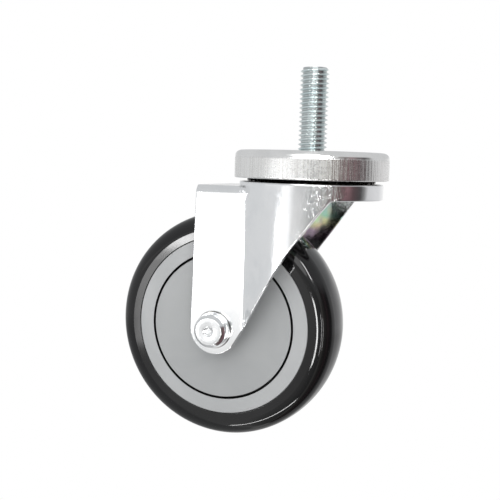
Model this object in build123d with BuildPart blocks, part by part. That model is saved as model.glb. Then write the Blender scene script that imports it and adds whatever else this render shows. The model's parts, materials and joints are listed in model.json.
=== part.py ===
"""Swivel castor with a threaded stem, a double ball race in its swivel and a ball-bearing wheel.

Millimetres. +Z runs up the stem and the wheel trails toward -X, so the castor travels toward +X.
The origin is on the swivel axis, in the top face of the raceway cap that the mounting surface rests on.
"""

import os
from math import pi

from build123d import *

# Stem and kingpin
stem_diameter = 12.7
stem_length = 36.0
stem_chamfer = 1.2
stem_seat_diameter = 13.4
collar_diameter = 21.0
collar_thickness = 2.0
kingpin_diameter = 14.0
tenon_diameter = 10.0
rivet_diameter = 17.0
rivet_height = 2.2

# Raceway cap over the swivel, a little wider than the fork's crown below it
cap_overhang = 2.2
cap_height = 12.0
cap_sheet = 2.5
cap_edge_radius = 2.8
cap_rim_radius = 0.5

# Ball races of the swivel, each filled with balls that almost touch
race_groove_depth = 1.1
ball_clearance = 0.15
ball_spacing_gap = 0.4
upper_ball_diameter = 6.35
upper_race_thickness = 2.8
upper_race_width = 11.4
lower_ball_diameter = 4.7625
lower_pitch_diameter = 25.0
lower_race_diameter = 36.0
lower_race_thickness = 2.4
lower_race_lip_width = 1.6
lower_race_lip_height = 2.0

# Pressed fork: a round crown with a turned-down rim, a rear shelf and two legs
fork_sheet = 2.8
crown_diameter = 62.8
crown_gap = 1.4
crown_rim_height = 6.8
crown_edge_radius = 1.6
crown_flange_width = 3.4
boss_edge_radius = 1.2
boss_shoulder = 3.5
crown_hole_diameter = 19.0
shelf_drop = 2.1
shelf_length = 13.2
shelf_bend_radius = 3.2
leg_inset = 7.9
crease_radius = 6.0
leg_front_x = 15.4
leg_front_radius = 3.0
knee_x = -3.0
knee_rise = 32.6
knee_radius = 45.0
leg_end_radius = 11.0

# Wheel position: how far it trails behind the swivel axis and clears the crown's rim
axle_offset = 35.0
wheel_clearance = 6.8

# Tyre
wheel_diameter = 101.6
tread_width = 27.6
tread_crown = 2.2
shoulder_radius = 7.1
tyre_side_height = 9.1
tyre_bead_radius = 0.4
tyre_lock_width = 9.0
tyre_lock_height = 2.2

# Wheel core: a moulded rim, web, ribs and hub
core_edge_radius = 0.4
rim_wall = 6.4
rim_ledge_wall = 9.6
web_thickness = 5.0
rib_count = 10
rib_thickness = 2.4
hub_wall = 5.0
hub_shoulder_height = 2.0

# Covers snapped into both faces of the core
cover_sheet = 1.6
cover_gap = 0.8
cover_skirt_wall = 1.6
cover_skirt_depth = 4.2
cover_edge_radius = 0.5
cover_bore_clearance = 0.6
cover_inside_clearance = 0.2

# Wheel bearings
bearing_bore = 10.0
bearing_width = 8.0
inner_ring_wall = 2.6
race_gap = 2.8
outer_ring_wall = 2.6
bearing_chamfer = 0.4
bearing_ball_diameter = 4.7625
bearing_ball_count = 7
cage_wall = 1.4
cage_width = 5.8
pocket_clearance = 0.2
shield_sheet = 0.4
shield_inset = 0.3
shield_clearance = 0.35

# Axle
axle_clearance = 0.05
axle_hole_clearance = 0.1
axle_spacer_wall = 2.5
bearing_spacer_wall = 2.0
head_washer_diameter = 15.6
head_washer_thickness = 1.2
head_diameter = 14.2
head_height = 4.8
head_chamfer = 1.3
dimple_diameter = 4.4
dimple_depth = 1.6
dimple_wall = 0.6
nut_washer_diameter = 20.0
nut_washer_thickness = 1.6
nut_width = 17.0
nut_height = 7.6
nut_chamfer = 1.0
nut_collar_diameter = 14.6
nut_collar_height = 2.4
nut_collar_radius = 1.0
bolt_overhang = 1.6
bolt_end_chamfer = 1.0

# Round sizes of the swivel: the cap, the drawn boss and its ball race all follow the crown
crown_radius = crown_diameter / 2
crown_inner_radius = crown_radius - fork_sheet
cap_radius = crown_radius + cap_overhang
cap_inner_radius = cap_radius - cap_sheet
boss_radius = crown_radius - crown_flange_width
upper_pitch_radius = boss_radius - boss_shoulder
upper_ball_count = int(2 * pi * upper_pitch_radius / (upper_ball_diameter + ball_spacing_gap))
lower_pitch_radius = lower_pitch_diameter / 2
lower_ball_count = int(2 * pi * lower_pitch_radius / (lower_ball_diameter + ball_spacing_gap))

# Heights of the swivel, downward from the cap's top face
upper_race_z = -(cap_sheet + upper_race_thickness)
upper_groove_radius = upper_ball_diameter / 2 + ball_clearance
upper_ball_z = upper_race_z + race_groove_depth - upper_groove_radius
boss_top_z = upper_ball_z - upper_groove_radius + race_groove_depth
boss_under_z = boss_top_z - fork_sheet
lower_groove_radius = lower_ball_diameter / 2 + ball_clearance
lower_ball_z = boss_under_z + race_groove_depth - lower_groove_radius
lower_race_z = lower_ball_z - lower_groove_radius + race_groove_depth
rivet_z = lower_race_z - lower_race_thickness
rim_top_z = -(cap_height + crown_gap)
rim_low_z = rim_top_z - crown_rim_height
shelf_top_z = rim_top_z - shelf_drop
wheel_radius = wheel_diameter / 2
axle_drop = wheel_radius + wheel_clearance - rim_low_z
knee_z = knee_rise - axle_drop

# The axle: axle_section holds the outlines turned about it, with +Y along and +Z outward
axle_point = (-axle_offset, 0, -axle_drop)
axle_centre = (-axle_offset, -axle_drop)
axle_line = Axis(axle_point, (0, 1, 0))
axle_section = Plane(origin=axle_point, x_dir=(0, 1, 0), z_dir=(1, 0, 0))
wheel_plane = Plane(origin=axle_point, x_dir=(1, 0, 0), z_dir=(0, 1, 0))
leg_outer_y = crown_radius - leg_inset
leg_inner_y = leg_outer_y - fork_sheet
shelf_end_x = -(crown_radius + shelf_length)
plan_end_x = -(axle_offset + 2 * leg_end_radius)

# Wheel sizes that follow from the ones above
core_radius = wheel_radius - tread_crown - tyre_side_height
core_face_y = tread_width / 2
rim_inner_radius = core_radius - rim_wall
ledge_radius = core_radius - rim_ledge_wall
ledge_y = core_face_y - cover_skirt_depth
cover_radius = rim_inner_radius - cover_gap
hub_face_y = core_face_y - cover_sheet - cover_inside_clearance
bore_radius = bearing_bore / 2
axle_radius = bore_radius - axle_clearance
axle_spacer_radius = bore_radius + axle_spacer_wall
bearing_spacer_radius = bore_radius + bearing_spacer_wall
inner_shoulder_radius = bore_radius + inner_ring_wall
outer_shoulder_radius = inner_shoulder_radius + race_gap
bearing_radius = outer_shoulder_radius + outer_ring_wall
hub_radius = bearing_radius + hub_wall
hub_shoulder_radius = bearing_radius - hub_shoulder_height
bearing_outer_y = hub_face_y
bearing_seat_y = bearing_outer_y - bearing_width
bearing_centre_y = bearing_seat_y + bearing_width / 2
bearing_pitch_radius = (inner_shoulder_radius + outer_shoulder_radius) / 2
bearing_groove_radius = bearing_ball_diameter / 2 + ball_clearance

os.makedirs("parts", exist_ok=True)


def save(piece, name):
    """Labels a finished piece and writes it as a STEP file under the same name."""
    piece.part.label = name
    export_step(piece.part, f"parts/{name}.step")


# Threaded stem, one piece with the kingpin: the thread's own form is left plain
with BuildPart() as threaded_stem:
    with BuildSketch(Plane.XZ):
        with BuildLine():
            Polyline(
                (0, stem_length),
                (stem_diameter / 2 - stem_chamfer, stem_length),
                (stem_diameter / 2, stem_length - stem_chamfer),
                (stem_diameter / 2, 0),
                (stem_seat_diameter / 2, 0),
                (stem_seat_diameter / 2, -cap_sheet),
                (collar_diameter / 2, -cap_sheet),
                (collar_diameter / 2, -cap_sheet - collar_thickness),
                (kingpin_diameter / 2, -cap_sheet - collar_thickness),
                (kingpin_diameter / 2, lower_race_z),
                (tenon_diameter / 2, lower_race_z),
                (tenon_diameter / 2, rivet_z),
                (rivet_diameter / 2, rivet_z),
            )
            RadiusArc(
                (rivet_diameter / 2, rivet_z),
                (0, rivet_z - rivet_height),
                (rivet_diameter**2 / 4 + rivet_height**2) / (2 * rivet_height),
            )
            Line((0, rivet_z - rivet_height), (0, stem_length))
        make_face()
    revolve(axis=Axis.Z)
save(threaded_stem, "threaded_stem")

# Raceway cap: a drawn cup that hides the upper race, with the stem standing in its centre hole
with BuildPart() as top_cap:
    with BuildSketch():
        Circle(cap_radius)
    extrude(amount=-cap_height)
    fillet(top_cap.edges().group_by(Axis.Z)[-1], radius=cap_edge_radius)
    with BuildSketch(Plane.XY.offset(-cap_height)):
        Circle(cap_inner_radius)
    extrude(amount=cap_height - cap_sheet, mode=Mode.SUBTRACT)
    with Locations((0, 0, -cap_sheet)):
        Hole(stem_seat_diameter / 2)
    fillet(top_cap.edges().group_by(Axis.Z)[0], radius=cap_rim_radius)
save(top_cap, "top_cap")

# Upper race: a hardened ring seated inside the cap, grooved for the balls
with BuildPart() as upper_race:
    with BuildSketch(Plane.XY.offset(-cap_sheet)):
        Circle(upper_pitch_radius + upper_race_width / 2)
        Circle(upper_pitch_radius - upper_race_width / 2, mode=Mode.SUBTRACT)
    extrude(amount=-upper_race_thickness)
    with BuildSketch(Plane.XZ):
        with Locations((upper_pitch_radius, upper_ball_z)):
            Circle(upper_groove_radius)
    revolve(axis=Axis.Z, mode=Mode.SUBTRACT)
save(upper_race, "upper_race")

# Balls of the upper race
with BuildPart() as upper_balls:
    with Locations((0, 0, upper_ball_z)):
        with PolarLocations(upper_pitch_radius, upper_ball_count):
            Sphere(upper_ball_diameter / 2)
save(upper_balls, "upper_balls")

# Balls of the lower race, held against the underside of the crown
with BuildPart() as lower_balls:
    with Locations((0, 0, lower_ball_z)):
        with PolarLocations(lower_pitch_radius, lower_ball_count):
            Sphere(lower_ball_diameter / 2)
save(lower_balls, "lower_balls")

# Lower race: a lipped cup riveted to the end of the kingpin
with BuildPart() as lower_race:
    with BuildSketch(Plane.XZ):
        with BuildLine():
            Polyline(
                (tenon_diameter / 2, lower_race_z),
                (lower_race_diameter / 2 - lower_race_lip_width, lower_race_z),
                (lower_race_diameter / 2 - lower_race_lip_width, lower_race_z + lower_race_lip_height),
                (lower_race_diameter / 2, lower_race_z + lower_race_lip_height),
                (lower_race_diameter / 2, rivet_z),
                (tenon_diameter / 2, rivet_z),
                close=True,
            )
        make_face()
        with Locations((lower_pitch_radius, lower_ball_z)):
            Circle(lower_groove_radius, mode=Mode.SUBTRACT)
    revolve(axis=Axis.Z)
    fillet(lower_race.edges().group_by(Axis.Z)[0].sort_by(SortBy.RADIUS)[-1], radius=lower_race_lip_width)
save(lower_race, "lower_race")

# Plan of the fork: the crown's circle with the legs' flat rear stretches running back from it
with BuildSketch() as fork_plan:
    Circle(crown_radius)
    with Locations((plan_end_x, 0)):
        Rectangle(-plan_end_x, 2 * leg_outer_y, align=(Align.MIN, Align.CENTER))
    fillet(fork_plan.vertices().filter_by_position(Axis.X, -crown_radius, 0), radius=crease_radius)

# Side view of the fork: crown rim in front, legs narrowing to a round end at the axle
with BuildSketch(Plane.XZ) as fork_side:
    with BuildLine():
        CenterArc(axle_centre, leg_end_radius, 0, 360)
        Line((knee_x, knee_z), (shelf_end_x, shelf_top_z))
    make_hull()
    with BuildLine():
        Polyline(
            (knee_x, knee_z),
            (leg_front_x, rim_low_z),
            (crown_radius, rim_low_z),
            (crown_radius, 0),
            (shelf_end_x, 0),
            (shelf_end_x, shelf_top_z),
            close=True,
        )
    make_face()
    fillet(fork_side.vertices().sort_by_distance((leg_front_x, rim_low_z, 0))[0], radius=leg_front_radius)
    fillet(fork_side.vertices().sort_by_distance((knee_x, knee_z, 0))[0], radius=knee_radius)

# Section of the crown: drawn boss for the races, flange and turned-down rim, all in one sheet
with BuildSketch(Plane.XZ) as crown_section:
    with BuildLine():
        Polyline(
            (crown_hole_diameter / 2, boss_top_z),
            (boss_radius, boss_top_z),
            (boss_radius, rim_top_z),
            (crown_radius, rim_top_z),
            (crown_radius, rim_low_z),
            (crown_inner_radius, rim_low_z),
            (crown_inner_radius, rim_top_z - fork_sheet),
            (boss_radius - fork_sheet, rim_top_z - fork_sheet),
            (boss_radius - fork_sheet, boss_under_z),
            (crown_hole_diameter / 2, boss_under_z),
            close=True,
        )
    make_face()
    rim_corner = crown_section.vertices().sort_by_distance((crown_radius, rim_top_z, 0))[0]
    boss_corners = crown_section.vertices().filter_by_position(
        Axis.X, boss_radius - fork_sheet, boss_radius
    )
    fillet(rim_corner, radius=crown_edge_radius)
    fillet(boss_corners, radius=boss_edge_radius)
    with Locations((upper_pitch_radius, upper_ball_z)):
        Circle(upper_groove_radius, mode=Mode.SUBTRACT)
    with Locations((lower_pitch_radius, lower_ball_z)):
        Circle(lower_groove_radius, mode=Mode.SUBTRACT)

# Pressed fork: one sheet, drawn into the crown and bent down into the rear shelf and the legs
with BuildPart() as fork:
    with BuildSketch(Plane.XY.offset(shelf_top_z)):
        add(fork_plan.sketch)
    extrude(amount=-(axle_drop + leg_end_radius + shelf_top_z))
    fillet(fork.edges().filter_by(Axis.X).group_by(Axis.Z)[-1], radius=shelf_bend_radius)
    with BuildSketch(Plane.XY.offset(shelf_top_z - fork_sheet)):
        offset(fork_plan.sketch, amount=-fork_sheet)
        with Locations((plan_end_x, 0)):
            Rectangle(2 * fork_sheet, 2 * leg_inner_y)
    extrude(until=Until.LAST, dir=(0, 0, -1), mode=Mode.SUBTRACT)
    with BuildSketch(Plane.XY.offset(shelf_top_z)):
        Circle(crown_inner_radius)
    extrude(amount=-fork_sheet, mode=Mode.SUBTRACT)
    revolve(crown_section.sketch, axis=Axis.Z)
    with BuildSketch(Plane.XZ):
        add(fork_side.sketch)
    extrude(amount=crown_diameter, both=True, mode=Mode.INTERSECT)
    with Locations(wheel_plane):
        Hole(axle_radius + axle_hole_clearance)
save(fork, "fork")

# Axle bolt with a round dimpled head on the right-hand leg
head_washer_y = -(leg_outer_y + head_washer_thickness)
head_face_y = head_washer_y - head_height
nut_seat_y = leg_outer_y + nut_washer_thickness
bolt_end_y = nut_seat_y + nut_height + nut_collar_height + bolt_overhang
with BuildPart() as axle_bolt:
    with BuildSketch(axle_section):
        with BuildLine():
            Polyline(
                (head_face_y + dimple_depth, 0),
                (head_face_y + dimple_wall, dimple_diameter / 2),
                (head_face_y, dimple_diameter / 2),
                (head_face_y, head_diameter / 2 - head_chamfer),
                (head_face_y + head_chamfer, head_diameter / 2),
                (head_face_y + head_height, head_diameter / 2),
                (head_face_y + head_height, axle_radius),
                (bolt_end_y - bolt_end_chamfer, axle_radius),
                (bolt_end_y, axle_radius - bolt_end_chamfer),
                (bolt_end_y, 0),
                close=True,
            )
        make_face()
    revolve(axis=axle_line)
save(axle_bolt, "axle_bolt")


def axle_ring(start_y, length, outer_radius):
    """A plain ring on the axle that runs from start_y along +Y."""
    with BuildPart() as ring:
        with BuildSketch(wheel_plane.offset(start_y)):
            Circle(outer_radius)
            Circle(bore_radius, mode=Mode.SUBTRACT)
        extrude(amount=length)
    return ring


save(axle_ring(head_washer_y, head_washer_thickness, head_washer_diameter / 2), "head_washer")
save(axle_ring(leg_outer_y, nut_washer_thickness, nut_washer_diameter / 2), "nut_washer")
save(axle_ring(-bearing_seat_y, 2 * bearing_seat_y, bearing_spacer_radius), "bearing_spacer")

# Lock nut: a hexagon with turned-down corners and a round collar that holds its locking ring
nut_corner_radius = nut_width / 3**0.5
nut_bore_radius = axle_radius + axle_clearance
with BuildPart() as axle_nut:
    with BuildSketch(wheel_plane.offset(nut_seat_y)):
        RegularPolygon(nut_width / 2, 6, major_radius=False)
        Circle(nut_bore_radius, mode=Mode.SUBTRACT)
    extrude(amount=nut_height)
    with BuildSketch(axle_section):
        with BuildLine():
            Polyline(
                (nut_seat_y, 0),
                (nut_seat_y, nut_corner_radius),
                (nut_seat_y + nut_height - nut_chamfer, nut_corner_radius),
                (nut_seat_y + nut_height, nut_corner_radius - 2 * nut_chamfer),
                (nut_seat_y + nut_height, 0),
                close=True,
            )
        make_face()
    revolve(axis=axle_line, mode=Mode.INTERSECT)
    with BuildSketch(wheel_plane.offset(nut_seat_y + nut_height)):
        Circle(nut_collar_diameter / 2)
        Circle(nut_bore_radius, mode=Mode.SUBTRACT)
    extrude(amount=nut_collar_height)
    fillet(axle_nut.edges().group_by(Axis.Y)[-1].sort_by(SortBy.RADIUS)[-1], radius=nut_collar_radius)
save(axle_nut, "axle_nut")

# Right and left halves of what the wheel runs on, and its covers
for side, sign in (("right", -1), ("left", 1)):
    bearing_y = sign * bearing_centre_y
    bearing_plane = wheel_plane.offset(bearing_y)

    # Spacer between the bearing's inner ring and the leg
    spacer_start_y = min(sign * bearing_outer_y, sign * leg_inner_y)
    spacer_length = leg_inner_y - bearing_outer_y
    save(axle_ring(spacer_start_y, spacer_length, axle_spacer_radius), f"{side}_axle_spacer")

    # Inner ring
    with BuildPart() as inner_ring:
        with BuildSketch(axle_section) as inner_section:
            with Locations((bearing_y, bore_radius)):
                Rectangle(bearing_width, inner_ring_wall, align=(Align.CENTER, Align.MIN))
            chamfer(inner_section.vertices().group_by(Axis.Y)[0], length=bearing_chamfer)
            with Locations((bearing_y, bearing_pitch_radius)):
                Circle(bearing_groove_radius, mode=Mode.SUBTRACT)
        revolve(axis=axle_line)
    save(inner_ring, f"{side}_inner_ring")

    # Outer ring, pressed into the hub
    with BuildPart() as outer_ring:
        with BuildSketch(axle_section) as outer_section:
            with Locations((bearing_y, outer_shoulder_radius)):
                Rectangle(bearing_width, outer_ring_wall, align=(Align.CENTER, Align.MIN))
            chamfer(outer_section.vertices().group_by(Axis.Y)[-1], length=bearing_chamfer)
            with Locations((bearing_y, bearing_pitch_radius)):
                Circle(bearing_groove_radius, mode=Mode.SUBTRACT)
        revolve(axis=axle_line)
    save(outer_ring, f"{side}_outer_ring")

    # Balls
    with BuildPart(bearing_plane) as bearing_balls:
        with PolarLocations(bearing_pitch_radius, bearing_ball_count):
            Sphere(bearing_ball_diameter / 2)
    save(bearing_balls, f"{side}_bearing_balls")

    # Cage that spaces the balls
    with BuildPart(bearing_plane) as cage:
        with BuildSketch(bearing_plane.offset(-cage_width / 2)):
            Circle(bearing_pitch_radius + cage_wall / 2)
            Circle(bearing_pitch_radius - cage_wall / 2, mode=Mode.SUBTRACT)
        extrude(amount=cage_width)
        with PolarLocations(bearing_pitch_radius, bearing_ball_count):
            Cylinder(
                bearing_ball_diameter / 2 + pocket_clearance,
                2 * cage_wall,
                rotation=(0, 90, 0),
                mode=Mode.SUBTRACT,
            )
    save(cage, f"{side}_cage")

    # Shield pressed into the outer ring, on the bearing's open side
    shield_y = sign * (bearing_outer_y - shield_inset - shield_sheet / 2)
    with BuildPart() as shield:
        with BuildSketch(wheel_plane.offset(shield_y)):
            Circle(outer_shoulder_radius)
            Circle(inner_shoulder_radius + shield_clearance, mode=Mode.SUBTRACT)
        extrude(amount=shield_sheet / 2, both=True)
    save(shield, f"{side}_shield")

    # Snap-in cover: a disc with a turned-in skirt that stands on the rim's ledge
    cover_bore_radius = axle_spacer_radius + cover_bore_clearance
    with BuildPart() as hub_cover:
        with BuildSketch(axle_section) as cover_section:
            with BuildLine():
                Polyline(
                    (sign * core_face_y, cover_bore_radius),
                    (sign * core_face_y, cover_radius),
                    (sign * ledge_y, cover_radius),
                    (sign * ledge_y, cover_radius - cover_skirt_wall),
                    (sign * (core_face_y - cover_sheet), cover_radius - cover_skirt_wall),
                    (sign * (core_face_y - cover_sheet), cover_bore_radius),
                    close=True,
                )
            make_face()
            rim_point = (sign * core_face_y, cover_radius, 0)
            fillet(cover_section.vertices().sort_by_distance(rim_point)[0], radius=cover_edge_radius)
        revolve(axis=axle_line)
    save(hub_cover, f"{side}_hub_cover")

# Wheel core: moulded rim with a locking rib, thin web, radial ribs and a hub that seats the bearings
with BuildPart() as wheel_core:
    with BuildSketch(axle_section) as rim_section:
        with Locations((0, ledge_radius)):
            Rectangle(2 * core_face_y, rim_ledge_wall, align=(Align.CENTER, Align.MIN))
        core_corners = rim_section.vertices().group_by(Axis.Y)[-1]
        fillet(core_corners, radius=core_edge_radius)
        for sign in (-1, 1):
            with Locations((sign * (ledge_y + core_face_y) / 2, ledge_radius)):
                Rectangle(
                    cover_skirt_depth,
                    rim_inner_radius - ledge_radius,
                    align=(Align.CENTER, Align.MIN),
                    mode=Mode.SUBTRACT,
                )
        with Locations((0, core_radius)):
            Rectangle(tyre_lock_width, tyre_lock_height, align=(Align.CENTER, Align.MIN))
    revolve(axis=axle_line)
    with BuildSketch(axle_section):
        with Locations((0, hub_shoulder_radius)):
            Rectangle(web_thickness, ledge_radius - hub_shoulder_radius, align=(Align.CENTER, Align.MIN))
            Rectangle(2 * hub_face_y, hub_radius - hub_shoulder_radius, align=(Align.CENTER, Align.MIN))
    revolve(axis=axle_line)
    with BuildSketch(wheel_plane.offset(-ledge_y)):
        with PolarLocations((hub_radius + ledge_radius) / 2, rib_count):
            Rectangle(ledge_radius - hub_radius + rib_thickness, rib_thickness)
    extrude(amount=2 * ledge_y)
    for sign in (-1, 1):
        with BuildSketch(wheel_plane.offset(sign * bearing_seat_y)):
            Circle(bearing_radius)
        extrude(amount=sign * hub_face_y, mode=Mode.SUBTRACT)
save(wheel_core, "wheel_core")

# Tyre: moulded round the core, with rounded shoulders and a slightly crowned tread
with BuildPart() as tyre:
    with BuildSketch(axle_section) as tyre_section:
        with BuildLine():
            Polyline(
                (-core_face_y, wheel_radius - tread_crown),
                (-core_face_y, core_radius),
                (core_face_y, core_radius),
                (core_face_y, wheel_radius - tread_crown),
            )
            ThreePointArc(
                (core_face_y, wheel_radius - tread_crown),
                (0, wheel_radius),
                (-core_face_y, wheel_radius - tread_crown),
            )
        make_face()
        fillet(tyre_section.vertices().group_by(Axis.Y)[0], radius=tyre_bead_radius)
        fillet(tyre_section.vertices().group_by(Axis.Y)[-1], radius=shoulder_radius)
        with Locations((0, core_radius)):
            Rectangle(
                tyre_lock_width,
                tyre_lock_height,
                align=(Align.CENTER, Align.MIN),
                mode=Mode.SUBTRACT,
            )
    revolve(axis=axle_line)
save(tyre, "tyre")
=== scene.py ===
"""A swivel castor: threaded stem, ball-raced cap, pressed fork and a grey wheel with a black tyre.

Metres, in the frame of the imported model: +Z runs up the stem, the wheel trails toward -X, and the origin is
on the swivel axis in the cap's top face.
"""
import json
import math

import bmesh
import bpy
import numpy as np
from mathutils import Matrix, Vector


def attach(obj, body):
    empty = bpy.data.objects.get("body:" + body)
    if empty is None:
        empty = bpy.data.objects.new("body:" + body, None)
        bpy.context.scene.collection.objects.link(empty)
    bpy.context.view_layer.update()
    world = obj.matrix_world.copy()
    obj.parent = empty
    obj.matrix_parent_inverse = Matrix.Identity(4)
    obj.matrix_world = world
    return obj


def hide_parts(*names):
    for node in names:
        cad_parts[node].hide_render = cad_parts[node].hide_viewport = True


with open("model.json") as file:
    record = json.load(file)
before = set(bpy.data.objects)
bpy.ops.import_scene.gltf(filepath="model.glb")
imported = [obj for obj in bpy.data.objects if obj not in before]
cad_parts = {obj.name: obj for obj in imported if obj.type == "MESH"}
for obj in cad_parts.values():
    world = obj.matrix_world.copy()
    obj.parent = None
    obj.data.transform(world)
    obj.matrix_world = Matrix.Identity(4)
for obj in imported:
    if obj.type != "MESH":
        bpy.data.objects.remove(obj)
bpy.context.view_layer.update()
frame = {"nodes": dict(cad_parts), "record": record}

MM = 0.001

# Angles in degrees below which faces meet smoothly, on plain pieces and on threads, and the steps round a
# rounded corner
PLAIN_SMOOTH_BELOW = 40.0
THREAD_SMOOTH_BELOW = 33.0
CORNER_STEPS = 4

# Threads: pitch and depth on the stem and on the axle bolt's end, and the shares of a pitch from a crest to
# where its flank starts and ends
STEM_PITCH = 1.954 * MM
STEM_THREAD_DEPTH = 1.15 * MM
BOLT_PITCH = 1.5 * MM
BOLT_THREAD_DEPTH = 0.9 * MM
CREST_SHARE = 0.04
ROOT_SHARE = 3 / 8
THREAD_COLUMNS = 96
ROWS_PER_TURN = 20

# Stem and kingpin in millimetres: heights from the cap's top face, radii, and the rounding of each corner
STEM_THREAD_START = -0.05
STEM_TOP = 36.0
STEM_RADIUS = 6.27
STEM_CHAMFER = 1.2
STEM_PROFILE = [
    (-19.6, 2.5, 0), (-19.1, 5.2, 0), (-18.4, 7.4, 0), (-17.8125, 8.5, 0), (-17.8125, 5.0, 0),
    (-15.4125, 5.0, 0), (-15.4125, 7.0, 0), (-4.5, 7.0, 0), (-4.5, 10.5, 0.3), (-2.5, 10.5, 0.3),
    (-2.5, 6.7, 0), (-0.05, 6.7, 0.15), (-0.05, 6.1, 0),
]

# Axle bolt in millimetres: distances along +Y, radii about the axle, and the rounding of each corner
AXLE_X = -35.0
AXLE_Z = -77.8
BOLT_RADIUS = 4.95
BOLT_END = 36.7
BOLT_THREAD_START = 26.0
BOLT_END_CHAMFER = 1.0
BOLT_PROFILE = [
    (-28.7, 0.9, 0.3), (-28.9, 2.2, 0.3), (-29.5, 2.2, 0.15), (-29.5, 5.8, 0.25), (-28.2, 7.1, 0.3),
    (-24.7, 7.1, 0.2), (-24.7, 4.95, 0), (25.5, 4.95, 0),
]

# Ring of the lock nut, proud of the nut's collar
LOCK_RING_PROFILE = [(34.2, 4.6, 0), (35.25, 4.6, 0.2), (35.25, 6.3, 0.2), (34.2, 6.3, 0)]

# Fork: the height, just above its crown's underside, below which its edges are rounded and its inside is
# tinted, the rounding of the edges and how sharp they have to be for it, and what counts as one point or as
# flat when its triangles are joined
FORK_UNDERSIDE = -15.9 * MM
FORK_EDGE_RADIUS = 0.5 * MM
FORK_EDGE_SEGMENTS = 3
FORK_EDGE_ANGLE = math.radians(50)
MERGE_DISTANCE = 0.002 * MM
FLAT_ANGLE = math.radians(0.4)

# Crown's top edge: centre, radius and squareness of the curve from its flange to its rim, and how far off
# that radius, as a share of it, a point may lie and still be on the curve
CROWN_EDGE_AWAY = 29.8 * MM
CROWN_EDGE_HEIGHT = -15.0 * MM
CROWN_EDGE_CURVE = 1.6 * MM
CROWN_EDGE_POWER = 5
CROWN_EDGE_SLACK = 0.05


# ---------------------------------------------------------------- meshes

def mesh_object(name, points, faces, smooth_below=PLAIN_SMOOTH_BELOW):
    """A piece made of points and faces, smooth where its faces meet at less than smooth_below degrees."""
    mesh = bpy.data.meshes.new(name)
    mesh.from_pydata(points.tolist(), [], faces)
    mesh.update()
    mesh.shade_smooth()
    mesh.set_sharp_from_angle(angle=math.radians(smooth_below))
    piece = bpy.data.objects.new(name, mesh)
    bpy.context.scene.collection.objects.link(piece)
    return piece


def rounded_corners(corners):
    """A section line through corners of (height, radius, rounding) in millimetres, given in metres.

    Each rounded corner becomes an arc that touches both of its sides: with half the corner's angle h, the
    arc starts rounding / tan h before the corner, and its centre lies rounding / sin h inside it. A point
    along the arc is the sum of its two end spokes, weighted sin((1 - s) w) / sin w and sin(s w) / sin w.
    """
    line = []
    for number, (height, radius, rounding) in enumerate(corners):
        corner = np.array((height, radius))
        if rounding == 0:
            line.append(corner[None])
            continue
        before = np.array(corners[number - 1][:2]) - corner
        after = np.array(corners[(number + 1) % len(corners)][:2]) - corner
        before /= np.linalg.norm(before)
        after /= np.linalg.norm(after)
        half = math.acos(np.clip(before @ after, -1, 1)) / 2
        inward = (before + after) / np.linalg.norm(before + after)
        centre = corner + inward * rounding / math.sin(half)
        first = corner + before * rounding / math.tan(half) - centre
        last = corner + after * rounding / math.tan(half) - centre
        sweep = math.pi - 2 * half
        share = np.linspace(0, 1, CORNER_STEPS + 1)[:, None]
        spokes = np.sin((1 - share) * sweep) * first + np.sin(share * sweep) * last
        line.append(centre + spokes / math.sin(sweep))
    return np.concatenate(line) * MM


def thread_radii(heights, angles, pitch, depth, radius):
    """Radius of a right-hand thread at each height and angle.

    With u the distance in turns from the nearest crest, which is
    u = fraction(height / pitch - angle / 2 pi + 1/2) - 1/2 without its sign, the radius falls from the
    crest's to the root's in a straight flank between CREST_SHARE and ROOT_SHARE.
    """
    turns = heights[:, None] / pitch - angles / (2 * np.pi)
    from_crest = np.abs((turns + 0.5) % 1 - 0.5)
    return radius - depth * np.clip((from_crest - CREST_SHARE) / (ROOT_SHARE - CREST_SHARE), 0, 1)


def turned_piece(name, heights, radii, origin, axis_rows, closed=False, smooth_below=PLAIN_SMOOTH_BELOW):
    """A turned form with radius radii[i, j] at height heights[i] and angle 2 pi j / columns.

    A point is origin + height * axis + radius * (cos(angle) * first side + sin(angle) * second side), where
    the rows of axis_rows are the axis and its two sides. Its two ends close in poles, or the last row joins
    the first where the section is a closed loop.
    """
    axis, side_a, side_b = np.array(axis_rows, float)
    rows, columns = radii.shape
    angles = np.linspace(0, 2 * np.pi, columns, endpoint=False)
    spokes = np.cos(angles)[:, None] * side_a + np.sin(angles)[:, None] * side_b
    points = np.array(origin) + heights[:, None, None] * axis + radii[..., None] * spokes
    points = points.reshape(-1, 3)
    number = np.arange(rows * columns).reshape(rows, columns)
    upper = np.roll(number, -1, axis=0) if closed else number[1:]
    lower = number if closed else number[:-1]
    quads = np.stack([lower, np.roll(lower, -1, axis=1), np.roll(upper, -1, axis=1), upper], axis=-1)
    faces = quads.reshape(-1, 4).tolist()
    if not closed:
        poles = np.array(origin) + heights[[0, -1], None] * axis
        points = np.concatenate([points, poles])
        first_pole = np.full(columns, rows * columns)
        faces += np.stack([np.roll(number[0], -1), number[0], first_pole], axis=-1).tolist()
        faces += np.stack([number[-1], np.roll(number[-1], -1), first_pole + 1], axis=-1).tolist()
    return mesh_object(name, points, faces, smooth_below)


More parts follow.
